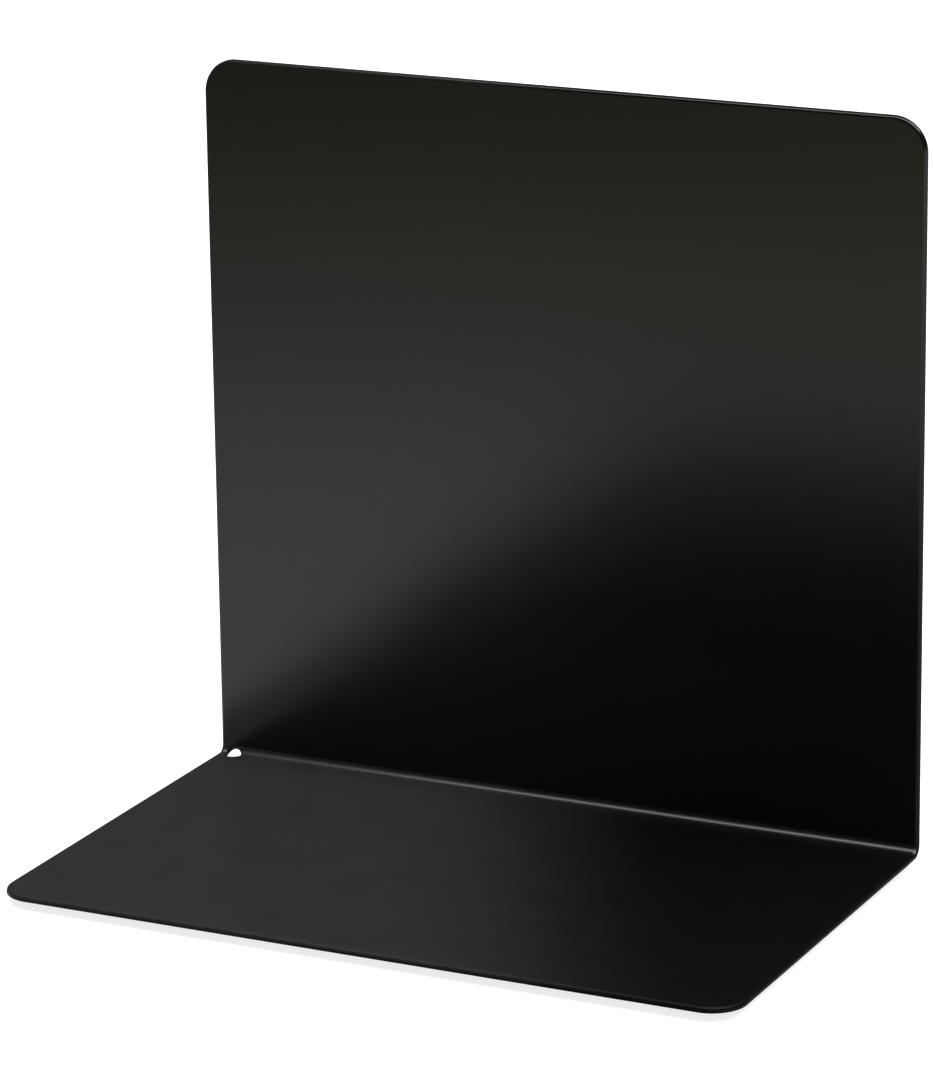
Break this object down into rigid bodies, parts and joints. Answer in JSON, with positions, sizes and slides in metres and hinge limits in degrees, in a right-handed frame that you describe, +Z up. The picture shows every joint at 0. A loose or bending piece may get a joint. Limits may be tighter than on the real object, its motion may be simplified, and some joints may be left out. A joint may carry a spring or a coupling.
{
  "type": "book end",
  "caption": "L-shaped sheet-steel book end in black powder coat: a flat base goes under the books, an upright at right angles to it holds them, and rubber feet grip the shelf.",
  "frame": {"origin": "centre of the footprint, on the surface that the feet stand on", "axes": "+X to the right along the fold, as seen from the books' side; +Y from the books to the upright's back; +Z up"},
  "size_m": [0.14, 0.085, 0.1351],
  "materials": {
    "powder_coat": "satin black powder coat on sheet steel",
    "foot_rubber": "matt black rubber, self-adhesive"
  },
  "bodies": {
    "root": {"folded_sheet": "powder_coat", "front_left_foot": "foot_rubber", "front_right_foot": "foot_rubber", "back_left_foot": "foot_rubber", "back_right_foot": "foot_rubber"}
  },
  "joints": []
}
